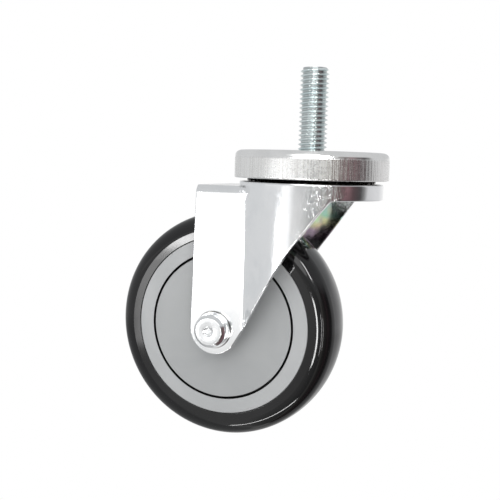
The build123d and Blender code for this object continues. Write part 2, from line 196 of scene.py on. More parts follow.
def threaded_piece(name, plain, thread_from, thread_to, chamfer, pitch, depth, radius, origin, axis_rows):
    """A turned rod: its plain section line, then a thread up to its chamfered end."""
    angles = np.linspace(0, 2 * np.pi, THREAD_COLUMNS, endpoint=False)
    count = int(round((thread_to - thread_from) / pitch * ROWS_PER_TURN))
    heights = np.linspace(thread_from, thread_to, count)
    radii = thread_radii(heights, angles, pitch, depth, radius)
    radii = np.minimum(radii, radius - chamfer + (thread_to - heights)[:, None])
    plain_radii = np.repeat(plain[:, 1:], THREAD_COLUMNS, axis=1)
    return turned_piece(
        name,
        np.concatenate([plain[:, 0], heights]),
        np.concatenate([plain_radii, radii]),
        origin,
        axis_rows,
        smooth_below=THREAD_SMOOTH_BELOW,
    )


UPRIGHT = ((0, 0, 1), (1, 0, 0), (0, 1, 0))
ALONG_AXLE = ((0, 1, 0), (0, 0, 1), (1, 0, 0))
AXLE_ORIGIN = np.array((AXLE_X, 0, AXLE_Z)) * MM

stem = threaded_piece(
    "stem_thread", rounded_corners(STEM_PROFILE), STEM_THREAD_START * MM, STEM_TOP * MM,
    STEM_CHAMFER * MM, STEM_PITCH, STEM_THREAD_DEPTH, STEM_RADIUS * MM, np.zeros(3), UPRIGHT,
)
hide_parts("threaded_stem")
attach(stem, "mount")

bolt = threaded_piece(
    "bolt_thread", rounded_corners(BOLT_PROFILE), BOLT_THREAD_START * MM, BOLT_END * MM,
    BOLT_END_CHAMFER * MM, BOLT_PITCH, BOLT_THREAD_DEPTH, BOLT_RADIUS * MM, AXLE_ORIGIN, ALONG_AXLE,
)
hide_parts("axle_bolt")
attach(bolt, "fork")

ring_line = rounded_corners(LOCK_RING_PROFILE)
lock_ring = turned_piece(
    "nut_lock_ring", ring_line[:, 0], np.repeat(ring_line[:, 1:], THREAD_COLUMNS, axis=1),
    AXLE_ORIGIN, ALONG_AXLE, closed=True,
)
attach(lock_ring, "fork")


def tightened_crown_edge(points):
    """Points of the crown's top edge moved out from its drawn curve onto a tighter one.

    About the centre of the curve, a point at angle t moves along its spoke to the outline
    |cos t|^n + |sin t|^n = 1, where n is CROWN_EDGE_POWER.
    """
    away = np.hypot(points[:, 0], points[:, 1])
    out = away - CROWN_EDGE_AWAY
    up = points[:, 2] - CROWN_EDGE_HEIGHT
    spoke = np.hypot(out, up)
    near_curve = np.abs(spoke - CROWN_EDGE_CURVE) < CROWN_EDGE_SLACK * CROWN_EDGE_CURVE
    on_edge = (out > 0) & (up > 0) & near_curve
    spoke = np.where(spoke == 0, 1, spoke)
    power = CROWN_EDGE_POWER
    stretch = (np.abs(out / spoke) ** power + np.abs(up / spoke) ** power) ** (-1 / power)
    stretch = np.where(on_edge, stretch, 1)
    wider = (CROWN_EDGE_AWAY + out * stretch) / np.where(away == 0, 1, away)
    moved = points.copy()
    moved[:, :2] *= np.where(on_edge, wider, 1)[:, None]
    moved[:, 2] = np.where(on_edge, CROWN_EDGE_HEIGHT + up * stretch, points[:, 2])
    return moved


def rounded_fork():
    """The fork as packed, its triangles joined and its sheet's edges rounded as blanking leaves them."""
    shape = bmesh.new()
    shape.from_mesh(frame["nodes"]["fork"].data)
    bmesh.ops.remove_doubles(shape, verts=shape.verts, dist=MERGE_DISTANCE)
    bmesh.ops.dissolve_limit(shape, angle_limit=FLAT_ANGLE, verts=shape.verts, edges=shape.edges)
    edges = [
        edge for edge in shape.edges
        if edge.is_convex and edge.calc_face_angle() > FORK_EDGE_ANGLE
        and max(end.co.z for end in edge.verts) < FORK_UNDERSIDE
    ]
    bmesh.ops.bevel(shape, geom=edges, offset=FORK_EDGE_RADIUS, segments=FORK_EDGE_SEGMENTS, profile=0.5,
                    affect="EDGES", clamp_overlap=False)
    bmesh.ops.triangulate(shape, faces=[face for face in shape.faces if len(face.verts) > 4])
    mesh = bpy.data.meshes.new("fork_pressing")
    shape.to_mesh(mesh)
    shape.free()
    places = np.empty(3 * len(mesh.vertices))
    mesh.vertices.foreach_get("co", places)
    mesh.vertices.foreach_set("co", tightened_crown_edge(places.reshape(-1, 3)).ravel())
    mesh.shade_smooth()
    mesh.set_sharp_from_angle(angle=FORK_EDGE_ANGLE)
    piece = bpy.data.objects.new("fork_pressing", mesh)
    bpy.context.scene.collection.objects.link(piece)
    weights = piece.modifiers.new("flats_stay_flat", "WEIGHTED_NORMAL")
    weights.mode = "FACE_AREA"
    weights.weight = 50
    weights.keep_sharp = True
    return piece


pressing = rounded_fork()
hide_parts("fork")
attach(pressing, "fork")


# ---------------------------------------------------------------- nodes

def add(tree, kind, inputs=None, **settings):
    """Adds a node, gives it its settings, and sets or links its inputs by name or number."""
    node = tree.nodes.new(kind)
    for name, value in settings.items():
        setattr(node, name, value)
    for name, value in (inputs or {}).items():
        if isinstance(value, bpy.types.NodeSocket):
            tree.links.new(value, node.inputs[name])
        else:
            node.inputs[name].default_value = value
    return node


def new_material(name):
    """An empty node material and its tree."""
    material = bpy.data.materials.new(name)
    material.use_nodes = True
    material.node_tree.nodes.clear()
    return material, material.node_tree


def finish_surface(tree, shader):
    """Joins a shader to the material's output."""
    add(tree, "ShaderNodeOutputMaterial", {"Surface": shader.outputs[0]})


def math_node(tree, operation, first, second=0.0):
    """The result of one operation on numbers or sockets."""
    return add(tree, "ShaderNodeMath", {0: first, 1: second}, operation=operation).outputs[0]


def product(tree, first, second):
    """Two numbers or sockets multiplied."""
    return math_node(tree, "MULTIPLY", first, second)


def total(tree, first, second):
    """Two numbers or sockets added."""
    return math_node(tree, "ADD", first, second)


def vector_node(tree, operation, first, second=(0, 0, 0)):
    """The result of one operation on vectors: a number for a length or distance, and otherwise a vector."""
    node = add(tree, "ShaderNodeVectorMath", {0: first, 1: second}, operation=operation)
    return node.outputs["Value" if operation in ("LENGTH", "DISTANCE") else "Vector"]


def split(tree, vector):
    """The three parts of a vector, by the names X, Y and Z."""
    return add(tree, "ShaderNodeSeparateXYZ", {0: vector}).outputs


def joined(tree, x=0.0, y=0.0, z=0.0):
    """A vector from its three parts."""
    return add(tree, "ShaderNodeCombineXYZ", {"X": x, "Y": y, "Z": z}).outputs[0]


def away_from_z(tree, parts):
    """How far a place is from the Z axis, from its three parts."""
    return vector_node(tree, "LENGTH", joined(tree, parts["X"], parts["Y"]))


def ramp_node(tree, value, low, high, to_low=0.0, to_high=1.0):
    """A value taken smoothly from the range low..high to the range to_low..to_high."""
    return add(tree, "ShaderNodeMapRange", {
        "Value": value, "From Min": low, "From Max": high, "To Min": to_low, "To Max": to_high,
    }, interpolation_type="SMOOTHSTEP").outputs[0]


def share_of(tree, value, low, high):
    """How far a value is from low to high, from 0 to 1 in a straight line."""
    return add(tree, "ShaderNodeMapRange", {"Value": value, "From Min": low, "From Max": high}).outputs[0]


def between(tree, share, low, high):
    """The value from low to high at a share from 0 to 1, in a straight line."""
    return add(tree, "ShaderNodeMapRange", {"Value": share, "To Min": low, "To Max": high}).outputs[0]


def noise_node(tree, vector, scale, detail=3.0, roughness=0.55, distortion=0.0):
    """Cloudy noise over a vector, from 0 to 1."""
    return add(tree, "ShaderNodeTexNoise", {
        "Vector": vector, "Scale": scale, "Detail": detail, "Roughness": roughness, "Distortion": distortion,
    }).outputs["Fac"]


def mix_colour(tree, share, first, second):
    """The first colour turning into the second as the share goes from 0 to 1."""
    return add(tree, "ShaderNodeMix", {0: share, 6: first, 7: second}, data_type="RGBA").outputs[2]


def colour_band(tree, share, stops):
    """The colour at a share from 0 to 1 along stops, each a place from 0 to 1 and a colour."""
    ramp = add(tree, "ShaderNodeValToRGB", {"Fac": share})
    elements = ramp.color_ramp.elements
    elements.remove(elements[1])
    for number, (place, colour) in enumerate(stops):
        stop = elements[0] if number == 0 else elements.new(place)
        stop.position = place
        stop.color = (*colour, 1)
    return ramp.outputs["Color"]


def object_place(tree):
    """Where a point is on the piece, in metres."""
    return add(tree, "ShaderNodeTexCoord").outputs["Object"]


# ---------------------------------------------------------------- studio

# How bright the white surroundings are where they light the castor; they are 1 where they are seen
WORLD_LIGHT = 0.75

# Wall: a ball about the castor, in metres and degrees, and its colours by direction in degrees from the
# front (-Y) toward +X
WALL_RADIUS = 1.2
WALL_ROWS = 24
WALL_COLUMNS = 96
WALL_END = 85.0
WALL_STOPS = [
    (-180, (0.95, 0.95, 0.95)),
    (-146, (0.90, 0.90, 0.90)),
    (-138, (0.64, 0.65, 0.66)),
    (-64, (0.67, 0.68, 0.69)),
    (-33, (0.67, 0.68, 0.69)),
    (-28, (1.07, 1.08, 1.08)),
    (-18, (1.07, 1.07, 1.07)),
    (-12, (0.70, 0.70, 0.70)),
    (-3, (0.60, 0.60, 0.60)),
    (12, (0.42, 0.425, 0.42)),
    (27, (0.30, 0.31, 0.31)),
    (33, (0.30, 0.31, 0.31)),
    (36, (0.74, 0.74, 0.69)),
    (41, (0.64, 0.62, 0.57)),
    (45, (0.30, 0.28, 0.26)),
    (56, (0.18, 0.16, 0.15)),
    (66, (0.10, 0.07, 0.07)),
    (73, (0.26, 0.15, 0.165)),
    (82, (0.10, 0.065, 0.07)),
    (98, (0.06, 0.058, 0.06)),
    (106, (0.22, 0.22, 0.22)),
    (115, (0.62, 0.62, 0.63)),
    (150, (0.72, 0.72, 0.73)),
    (180, (0.95, 0.95, 0.95)),
]

# Ceiling: its colour, and the elevations in degrees over which it fades in above the wall
CEILING_COLOUR = (0.60, 0.61, 0.62, 1)
CEILING_FROM, CEILING_TO = 1.0, 9.0

# Dark side of the studio, where the ceiling starts higher: its middle and half width in radians
DARK_CEILING_FROM, DARK_CEILING_TO = 10.0, 26.0
DARK_SIDE_AT = 1.4
DARK_SIDE_HALF = 0.5

# Lower part of the wall: the elevations in degrees over which it dims, and by how much
LOW_WALL_FROM, LOW_WALL_TO = -12.0, -17.0
LOW_WALL_SHADE = 0.25

# Panes that only mirror: name, azimuth from and to, elevation from and to, distance in metres, strength
PANE_COLUMNS = 4
PANE_ROWS = 8
LAMP_PANES = [
    ("strip_lamp_wide", -1.0, 4.5, -37.5, -18.0, 0.25, 22.0),
    ("strip_lamp_thin", 27.0, 28.8, -38.0, -18.0, 0.25, 14.0),
    ("strip_lamp_edge", 38.0, 39.4, -36.0, -19.0, 0.25, 11.0),
    ("top_lamp", 33.0, 38.0, 16.0, 31.0, 1.1, 18.0),
    ("high_lamp", 8.0, 26.0, 46.0, 52.0, 1.1, 4.0),
    ("low_lamp", -26.0, 28.0, -53.0, -50.5, 1.1, 20.0),
    ("card_bright", -34.0, -26.5, -12.6, -10.2, 0.34, 22.0),
    ("card_half", -36.0, -26.5, -14.0, -9.0, 0.345, 6.0),
    ("card_soft", -38.0, -32.0, -25.0, -13.5, 0.35, 4.5),
    ("card_level", -60.0, -22.0, -1.9, 2.4, 0.6, 0.86),
]

# Floor and key lamp, in metres and watts
FLOOR_HEIGHT = -128.6 * MM
FLOOR_HALF_SIZE = 3.0
FLOOR_COLOUR = (0.9, 0.9, 0.9, 1)
KEY_LAMP_PLACE = Vector((0.1, -1.0, 0.5))
KEY_LAMP_AIM = Vector((-0.02, 0, -0.05))
KEY_LAMP_SIZE = 1.0
KEY_LAMP_POWER = 5.5

# Camera: where it stands, which way it looks, how far it is rolled and how long its lens is
CAMERA_PLACE = Vector((96.535, -361.803, -5.94)) * MM
CAMERA_AZIMUTH = math.radians(18.904)
CAMERA_ELEVATION = math.radians(5.803)
CAMERA_ROLL = math.radians(1.667)
SENSOR_WIDTH = 36.0
IMAGE_SIZE = 500
FOCAL_PIXELS = 850.37

WHITE = (1, 1, 1, 1)
BLACK = (0, 0, 0, 1)


def white_where_seen(tree):
    """1 for rays from the camera, a glossy surface or glass, and 0 for the light that falls on things."""
    path = add(tree, "ShaderNodeLightPath").outputs
    seen = math_node(tree, "MAXIMUM", path["Is Camera Ray"], path["Is Glossy Ray"])
    return math_node(tree, "MAXIMUM", seen, path["Is Transmission Ray"])


def make_world():
    """Even white surroundings: full white where they are seen, softer where they light the castor."""
    world = bpy.data.worlds.new("studio")
    world.use_nodes = True
    tree = world.node_tree
    tree.nodes.clear()
    strength = between(tree, white_where_seen(tree), WORLD_LIGHT, 1.0)
    sky = add(tree, "ShaderNodeBackground", {"Color": WHITE, "Strength": strength})
    add(tree, "ShaderNodeOutputWorld", {"Surface": sky.outputs[0]})
    bpy.context.scene.world = world


def glow(tree, colour, strength):
    """A surface that gives off light of one colour."""
    return add(tree, "ShaderNodeEmission", {"Color": colour, "Strength": strength})


def dome_patch(name, azimuths, elevations, radius):
    """Part of a ball about the castor, which only mirrors in it: the point at azimuth a and elevation e is
    radius times (sin a cos e, -cos a cos e, sin e)."""
    a, e = np.meshgrid(np.radians(azimuths), np.radians(elevations))
    points = np.stack([np.sin(a) * np.cos(e), -np.cos(a) * np.cos(e), np.sin(e)], axis=-1) * radius
    number = np.arange(a.size).reshape(a.shape)
    panes = np.stack([number[:-1, :-1], number[1:, :-1], number[1:, 1:], number[:-1, 1:]], axis=-1)
    patch = mesh_object(name, points.reshape(-1, 3), panes.reshape(-1, 4).tolist())
    patch.visible_camera = False
    patch.visible_diffuse = False
    patch.visible_shadow = False
    patch.visible_transmission = False
    return patch


def above(tree, height, from_degrees, to_degrees):
    """0 turning smoothly into 1 as the elevation goes from one angle to the other."""
    return ramp_node(tree, height, math.sin(math.radians(from_degrees)), math.sin(math.radians(to_degrees)))


def make_studio_wall():
    """Surroundings coloured in upright bands under a grey ceiling."""
    wall = dome_patch("studio_wall", np.linspace(-180, 180, WALL_COLUMNS + 1),
                      np.linspace(-WALL_END, WALL_END, WALL_ROWS + 1), WALL_RADIUS)
    material, tree = new_material("studio_wall")
    place = split(tree, object_place(tree))
    angle = math_node(tree, "ARCTAN2", place["X"], product(tree, place["Y"], -1.0))
    height = math_node(tree, "DIVIDE", place["Z"], WALL_RADIUS)
    stops = [((degrees + 180) / 360, colour) for degrees, colour in WALL_STOPS]
    bands = colour_band(tree, share_of(tree, angle, -math.pi, math.pi), stops)
    dimmed = mix_colour(tree, above(tree, height, LOW_WALL_FROM, LOW_WALL_TO), bands, BLACK)
    banded = mix_colour(tree, LOW_WALL_SHADE, bands, dimmed)
    from_dark = math_node(tree, "ABSOLUTE", math_node(tree, "SUBTRACT", angle, DARK_SIDE_AT))
    dark_side = math_node(tree, "LESS_THAN", from_dark, DARK_SIDE_HALF)
    ceiling = between(tree, dark_side, above(tree, height, CEILING_FROM, CEILING_TO),
                      above(tree, height, DARK_CEILING_FROM, DARK_CEILING_TO))
    finish_surface(tree, glow(tree, mix_colour(tree, ceiling, banded, CEILING_COLOUR), 1.0))
    wall.data.materials.append(material)


def make_panes():
    """Bright panes about the castor, which draw the highlights on its tyre, cap and fork."""
    for name, from_a, to_a, from_e, to_e, distance, strength in LAMP_PANES:
        pane = dome_patch(name, np.linspace(from_a, to_a, PANE_COLUMNS + 1),
                          np.linspace(from_e, to_e, PANE_ROWS + 1), distance)
        material, tree = new_material(name)
        finish_surface(tree, glow(tree, WHITE, strength))
        pane.data.materials.append(material)


def make_floor():
    """A pale floor under the wheel, white where it is seen, that keeps the castor's shadow."""
    corners = np.array([(-1, -1), (1, -1), (1, 1), (-1, 1)]) * FLOOR_HALF_SIZE
    points = np.concatenate([corners, np.full((4, 1), FLOOR_HEIGHT)], axis=1)
    floor = mesh_object("floor", points, [[0, 1, 2, 3]])
    material, tree = new_material("floor")
    plain = add(tree, "ShaderNodeBsdfDiffuse", {"Color": FLOOR_COLOUR})
    finish_surface(tree, add(tree, "ShaderNodeMixShader", {
        "Fac": white_where_seen(tree), 1: plain.outputs[0], 2: glow(tree, WHITE, 1.0).outputs[0],
    }))
    floor.data.materials.append(material)
    floor.visible_glossy = False


def make_key_lamp():
    """One broad soft lamp high in front, beside the even light of the surroundings."""
    data = bpy.data.lights.new("key_lamp", "AREA")
    data.shape = "SQUARE"
    data.size = KEY_LAMP_SIZE
    data.energy = KEY_LAMP_POWER
    data.specular_factor = 0.0
    lamp = bpy.data.objects.new("key_lamp", data)
    turn = (KEY_LAMP_AIM - KEY_LAMP_PLACE).to_track_quat("-Z", "Y").to_matrix().to_4x4()
    lamp.matrix_world = Matrix.Translation(KEY_LAMP_PLACE) @ turn
    bpy.context.scene.collection.objects.link(lamp)


def make_camera():
    """The camera, from its place, its azimuth, elevation and roll."""
    azimuth, elevation, roll = CAMERA_AZIMUTH, CAMERA_ELEVATION, CAMERA_ROLL
    back = Vector((
        math.sin(azimuth) * math.cos(elevation),
        -math.cos(azimuth) * math.cos(elevation),
        math.sin(elevation),
    ))
    right = Vector((math.cos(azimuth), math.sin(azimuth), 0))
    up = back.cross(right)
    rolled_right = right * math.cos(roll) + up * math.sin(roll)
    rolled_up = up * math.cos(roll) - right * math.sin(roll)
    data = bpy.data.cameras.new("camera")
    data.sensor_width = SENSOR_WIDTH
    data.lens = FOCAL_PIXELS * SENSOR_WIDTH / IMAGE_SIZE
    data.clip_start = 0.01
    data.clip_end = 20
    camera = bpy.data.objects.new("camera", data)
    turn = Matrix((rolled_right, rolled_up, back)).transposed().to_4x4()
    camera.matrix_world = Matrix.Translation(CAMERA_PLACE) @ turn
    bpy.context.scene.collection.objects.link(camera)
    bpy.context.scene.camera = camera


make_world()
make_studio_wall()
make_panes()
make_floor()
make_key_lamp()
make_camera()
bpy.context.scene.view_settings.view_transform = "Standard"


# ---------------------------------------------------------------- shared effects

# Plating: how much finer its polish and its skin are than its clouds, and how high the clouds stand
POLISH_FINER = 7.0
SKIN_FINER = 16.0
CLOUD_RISE = 2.0

# Handling scuffs: how each set of streaks is turned in radians and stretched, and the scale of their patches
SCUFF_SETS = [((0.5, 0.3, 0.7), (1.0, 0.05, 1.0)), ((1.1, -0.4, 2.2), (1.0, 0.04, 1.0))]
SCUFF_PATCHES = 60.0

# Drawn streaks: scale of the broad waves under the lines
BROAD_WAVES = 0.22

# Moulded grain: how high the swirls stand beside the pebble
SWIRL_RISE = 1.5

# Passivation film: how far its tints drift, and the tints from its top to its bottom
FILM_DRIFT = 0.7
FILM_TINTS = [
    (0.05, (0.88, 0.88, 0.87)),
    (0.24, (0.80, 0.86, 0.84)),
    (0.40, (0.55, 0.86, 0.76)),
    (0.55, (0.92, 0.88, 0.58)),
    (0.68, (0.60, 0.42, 0.58)),
    (0.80, (0.30, 0.28, 0.30)),
    (0.92, (0.60, 0.60, 0.60)),
]


def new_effect(name, inputs, outputs):
    """An empty node group with a Vector input and others, each with a kind and a starting value, and with
    outputs, each of one kind. It comes with what its inputs carry and with its last node."""
    group = bpy.data.node_groups.new(name, "ShaderNodeTree")
    group.interface.new_socket("Vector", in_out="INPUT", socket_type="NodeSocketVector")
    for socket, (kind, value) in inputs.items():
        made = group.interface.new_socket(socket, in_out="INPUT", socket_type="NodeSocket" + kind)
        made.default_value = value
    for socket, kind in outputs.items():
        group.interface.new_socket(socket, in_out="OUTPUT", socket_type="NodeSocket" + kind)
    return group, group.nodes.new("NodeGroupInput").outputs, group.nodes.new("NodeGroupOutput")


def put_out(group, end, results):
    """Joins results to the outputs of a node group, by name."""
    for socket, value in results.items():
        group.links.new(value, end.inputs[socket])
    return group


def make_plating():
    """Zinc plating: slow clouds in its tone, finer clouds in its polish, and a very fine uneven skin."""
    group, given, end = new_effect(
        "zinc_plating",
        {"Tone A": ("Color", (0.9, 0.9, 0.9, 1)), "Tone B": ("Color", (0.8, 0.8, 0.8, 1)),
         "Polished": ("Float", 0.1), "Dull": ("Float", 0.2), "Cloud Scale": ("Float", 90.0)},
        {"Color": "Color", "Roughness": "Float", "Height": "Float"},
    )
    place, scale = given["Vector"], given["Cloud Scale"]
    slow = noise_node(group, place, scale, detail=3.0, roughness=0.5, distortion=0.4)
    fine = noise_node(group, place, product(group, scale, POLISH_FINER), detail=5.0, roughness=0.65)
    skin = noise_node(group, place, product(group, scale, SKIN_FINER), detail=3.0, roughness=0.6)
    tone = ramp_node(group, slow, low=0.38, high=0.66)
    polish = ramp_node(group, fine, low=0.35, high=0.7)
    return put_out(group, end, {
        "Color": mix_colour(group, tone, given["Tone A"], given["Tone B"]),
        "Roughness": between(group, polish, given["Polished"], given["Dull"]),
        "Height": total(group, skin, product(group, slow, CLOUD_RISE)),
    })


def make_drawn_streaks():
    """Fine lines up a drawn wall: noise on the unit circle about Z, far finer round the wall than up it."""
    group, given, end = new_effect(
        "drawn_streaks",
        {"Lines": ("Float", 60.0), "Along": ("Float", 60.0)},
        {"Mask": "Float", "Height": "Float"},
    )
    parts = split(group, given["Vector"])
    spoke = vector_node(group, "NORMALIZE", joined(group, parts["X"], parts["Y"]))
    spread = add(group, "ShaderNodeVectorMath", {0: spoke, "Scale": given["Lines"]}, operation="SCALE")
    rise = joined(group, z=product(group, parts["Z"], given["Along"]))
    place = vector_node(group, "ADD", spread.outputs[0], rise)
    lines = noise_node(group, place, 1.0, detail=1.5, roughness=0.5)
    broad = noise_node(group, place, BROAD_WAVES, detail=2.0, roughness=0.5)
    return put_out(group, end, {
        "Mask": ramp_node(group, lines, low=0.4, high=0.68),
        "Height": total(group, lines, broad),
    })


def make_turned_lines():
    """Tool marks round Z: noise that depends only on the distance from the axis and the height along it."""
    group, given, end = new_effect(
        "turned_lines", {"Lines": ("Float", 4000.0)}, {"Mask": "Float", "Height": "Float"},
    )
    parts = split(group, given["Vector"])
    place = joined(group, away_from_z(group, parts), parts["Z"])
    lines = noise_node(group, place, given["Lines"], detail=3.0, roughness=0.7)
    return put_out(group, end, {"Mask": ramp_node(group, lines, low=0.42, high=0.62), "Height": lines})


def make_scuffs():
    """Faint handling marks: two sets of long thin streaks that cross, kept where the noise peaks."""
    group, given, end = new_effect(
        "handling_scuffs", {"Scale": ("Float", 500.0), "Amount": ("Float", 0.5)}, {"Mask": "Float"},
    )
    marks = []
    for turn, stretch in SCUFF_SETS:
        laid = add(group, "ShaderNodeMapping", {
            "Vector": given["Vector"], "Rotation": turn, "Scale": stretch,
        }).outputs[0]
        streak = noise_node(group, laid, given["Scale"], detail=2.0, roughness=0.6)
        marks.append(ramp_node(group, streak, low=0.66, high=0.74))
    patches = noise_node(group, given["Vector"], SCUFF_PATCHES, detail=2.0)
    kept = ramp_node(group, patches, low=0.45, high=0.65)
    both = product(group, math_node(group, "MAXIMUM", *marks), kept)
    return put_out(group, end, {"Mask": product(group, both, given["Amount"])})


def make_grain():
    """Moulded skin: a fine pebble from the mould and slow swirls where the plastic flowed."""
    group, given, end = new_effect(
        "moulded_grain",
        {"Pebble": ("Float", 5000.0), "Flow": ("Float", 60.0)},
        {"Mask": "Float", "Height": "Float"},
    )
    pebble = noise_node(group, given["Vector"], given["Pebble"], detail=2.0, roughness=0.5)
    swirl = noise_node(group, given["Vector"], given["Flow"], detail=3.0, roughness=0.5, distortion=1.2)
    return put_out(group, end, {
        "Mask": ramp_node(group, swirl, low=0.35, high=0.65),
        "Height": total(group, pebble, product(group, swirl, SWIRL_RISE)),
    })


def make_passivation():
    """Rainbow tints of the passivation film, which change with height and drift with slow noise."""
    group, given, end = new_effect(
        "passivation_film",
        {"Scale": ("Float", 70.0), "Top": ("Float", 0.0), "Bottom": ("Float", -0.05)},
        {"Color": "Color"},
    )
    drift = noise_node(group, given["Vector"], given["Scale"], detail=2.0, roughness=0.5, distortion=0.8)
    down = share_of(group, split(group, given["Vector"])["Z"], given["Top"], given["Bottom"])
    shifted = product(group, math_node(group, "SUBTRACT", drift, 0.5), FILM_DRIFT)
    return put_out(group, end, {"Color": colour_band(group, total(group, down, shifted), FILM_TINTS)})


PLATING = make_plating()
STREAKS = make_drawn_streaks()
TURNED = make_turned_lines()
SCUFFS = make_scuffs()
GRAIN = make_grain()
FILM = make_passivation()


def effect(tree, group, inputs):
    """What a shared effect puts out, with its own values."""
    return add(tree, "ShaderNodeGroup", inputs, node_tree=group).outputs


def plating(tree, place, tone_a, tone_b, polished, dull, clouds=90.0):
    """What the zinc plating puts out, in its own two tones and polish."""
    return effect(tree, PLATING, {
        "Vector": place, "Tone A": (*tone_a, 1), "Tone B": (*tone_b, 1), "Polished": polished, "Dull": dull,
        "Cloud Scale": clouds,
    })


def about_axle(tree, vector):
    """The same place seen along the axle: Z runs along it and the origin is on it."""
    parts = split(tree, vector_node(tree, "SUBTRACT", vector, tuple(AXLE_ORIGIN)))
    return joined(tree, parts["Z"], parts["X"], parts["Y"])


def bump(tree, height, strength, distance):
    """A normal that follows a height, distance metres high."""
    return add(tree, "ShaderNodeBump", {
        "Height": height, "Strength": strength, "Distance": distance,
    }).outputs[0]


# ---------------------------------------------------------------- finishes

# How high the uneven skin of the plating stands
SKIN_HEIGHT = 0.004 * MM

# Plated steel: how rough a scuff is, and how much and to what share of its tone the turned lines darken it
SCUFF_ROUGHNESS = 0.25
LINE_SHARE = 0.5
LINE_TONE = 0.82

# Cap: the heights over which its streaked wall fades in and out, how much rougher it is, the scales of the
# streaks round it and up it, and how deep, strong and dark the streaks are
CAP_TONES = (0.97, 0.965, 0.955), (0.92, 0.915, 0.905)
CAP_WALL_TOP = (-2.6 * MM, -3.6 * MM)
CAP_WALL_LOW = (-11.9 * MM, -11.3 * MM)
CAP_WALL_ROUGHNESS = 0.1
CAP_LINES = {"Lines": 60.0, "Along": 5.0}
CAP_STREAK_DEPTH = 110.0
CAP_STREAK_SHARE = 0.4
CAP_STREAK_COLOUR = (0.70, 0.68, 0.65, 1)

# Stem: a darker, greener tone in the thread's root, the distances from the axis over which it thins out, and
# how patchy it is
STEM_TONES = (0.90, 0.95, 0.95), (0.80, 0.88, 0.89)
THREAD_ROOT_TONE = (0.60, 0.64, 0.64, 1)
THREAD_ROOT_FROM, THREAD_ROOT_TO = 5.1 * MM, 5.9 * MM
THREAD_ROOT_PATCHES = 180.0
THREAD_ROOT_LEAST = 0.6
THREAD_LINES = 3500.0

# Fork: how far from the middle, and from the swivel's axis, a face still counts as the sheet's inside, and
# how strong its fine lines and scuffs are
FORK_TONES = (0.96, 0.965, 0.97), (0.91, 0.92, 0.93)
FORK_INSIDE_Y = 21.0 * MM
FORK_INSIDE_RADIUS = 29.0 * MM
FORK_CLOUDS = 80.0
FORK_LINES = {"Lines": 40.0, "Along": 25.0}
FORK_LINE_RISE = 2.0
FORK_SCUFFS = 0.35
FORK_SCUFF_ROUGHNESS = 0.2

# Crinkles of the press: their places, on the +Y side, and their reach, both in millimetres, the share of the
# reach in which they are full, and how they are stretched, how fine and how high they are
PRESS_SPOTS = [((13.5, 28.2, -20.0), 12.0), ((-22.0, 23.0, -17.0), 4.5)]
CRINKLE_FULL = 0.25
CRINKLE_STRETCH = (1.0, 1.0, 0.4)
CRINKLE_SCALE = 900.0
CRINKLE_HEIGHT = 330.0

# Passivation film on the fork's inside: the heights that it runs over and how strong it is
FILM_TOP = -19 * MM
FILM_BOTTOM = -46 * MM
FILM_SHARE = 0.85

# Dark old grease and painted shade on the drawn boss between the races, in the gap under the cap
GREASE_AND_SHADE_RADIUS = 29.9 * MM
GREASE_AND_SHADE_COLOUR = (0.12, 0.115, 0.11, 1)

# Painted shade round the washers on the legs, in the corner where each meets the leg: the washers' radii,
# how wide it is, the share of that width in which it is full, and its colour
HEAD_WASHER_RADIUS = 7.8 * MM
NUT_WASHER_RADIUS = 10.0 * MM
WASHER_SHADE_WIDTH = 0.6 * MM
WASHER_SHADE_FULL = 0.1
WASHER_SHADE_COLOUR = (0.16, 0.15, 0.145, 1)

# Painted shade in the groove between the wheel core and its cover: radius, half width, and how far from the
# middle it is dark
GROOVE_RADIUS = 32.7 * MM
GROOVE_HALF = 0.75 * MM
GROOVE_FACE = 13.75 * MM
GROOVE_SHADE_COLOUR = (0.004, 0.004, 0.004, 1)


def finish_metal(tree, colour, roughness, height, strength):
    """Joins the shader of a metal with an uneven skin to the material's output."""
    finish_surface(tree, add(tree, "ShaderNodeBsdfPrincipled", {
        "Base Color": colour, "Metallic": 1.0, "Roughness": roughness,
        "Normal": bump(tree, height, strength, SKIN_HEIGHT),
    }))


def plated_steel(name, tones, polished, dull, turned=None, axle=False, scuffs=0.3):
    """Zinc-plated steel with clouds in its tone and polish, handling scuffs and, if wanted, turned lines.

    turned is the scale of the lines, how deep they are and how much they roughen the steel; with axle they
    run round the axle, and otherwise round the stem's axis.
    """
    material, tree = new_material(name)
    place = object_place(tree)
    plate = plating(tree, place, *tones, polished, dull)
    scuff = effect(tree, SCUFFS, {"Vector": place, "Amount": scuffs})["Mask"]
    roughness = total(tree, plate["Roughness"], product(tree, scuff, SCUFF_ROUGHNESS))
    colour = plate["Color"]
    height = plate["Height"]
    if turned:
        scale, depth, shade = turned
        lines = effect(tree, TURNED, {"Vector": about_axle(tree, place) if axle else place, "Lines": scale})
        height = total(tree, height, product(tree, lines["Height"], depth))
        roughness = total(tree, roughness, product(tree, lines["Mask"], shade))
        darker = tuple(LINE_TONE * part for part in tones[1])
        colour = mix_colour(tree, product(tree, lines["Mask"], LINE_SHARE), colour, (*darker, 1))
    finish_metal(tree, colour, roughness, height, strength=0.25)
    return material


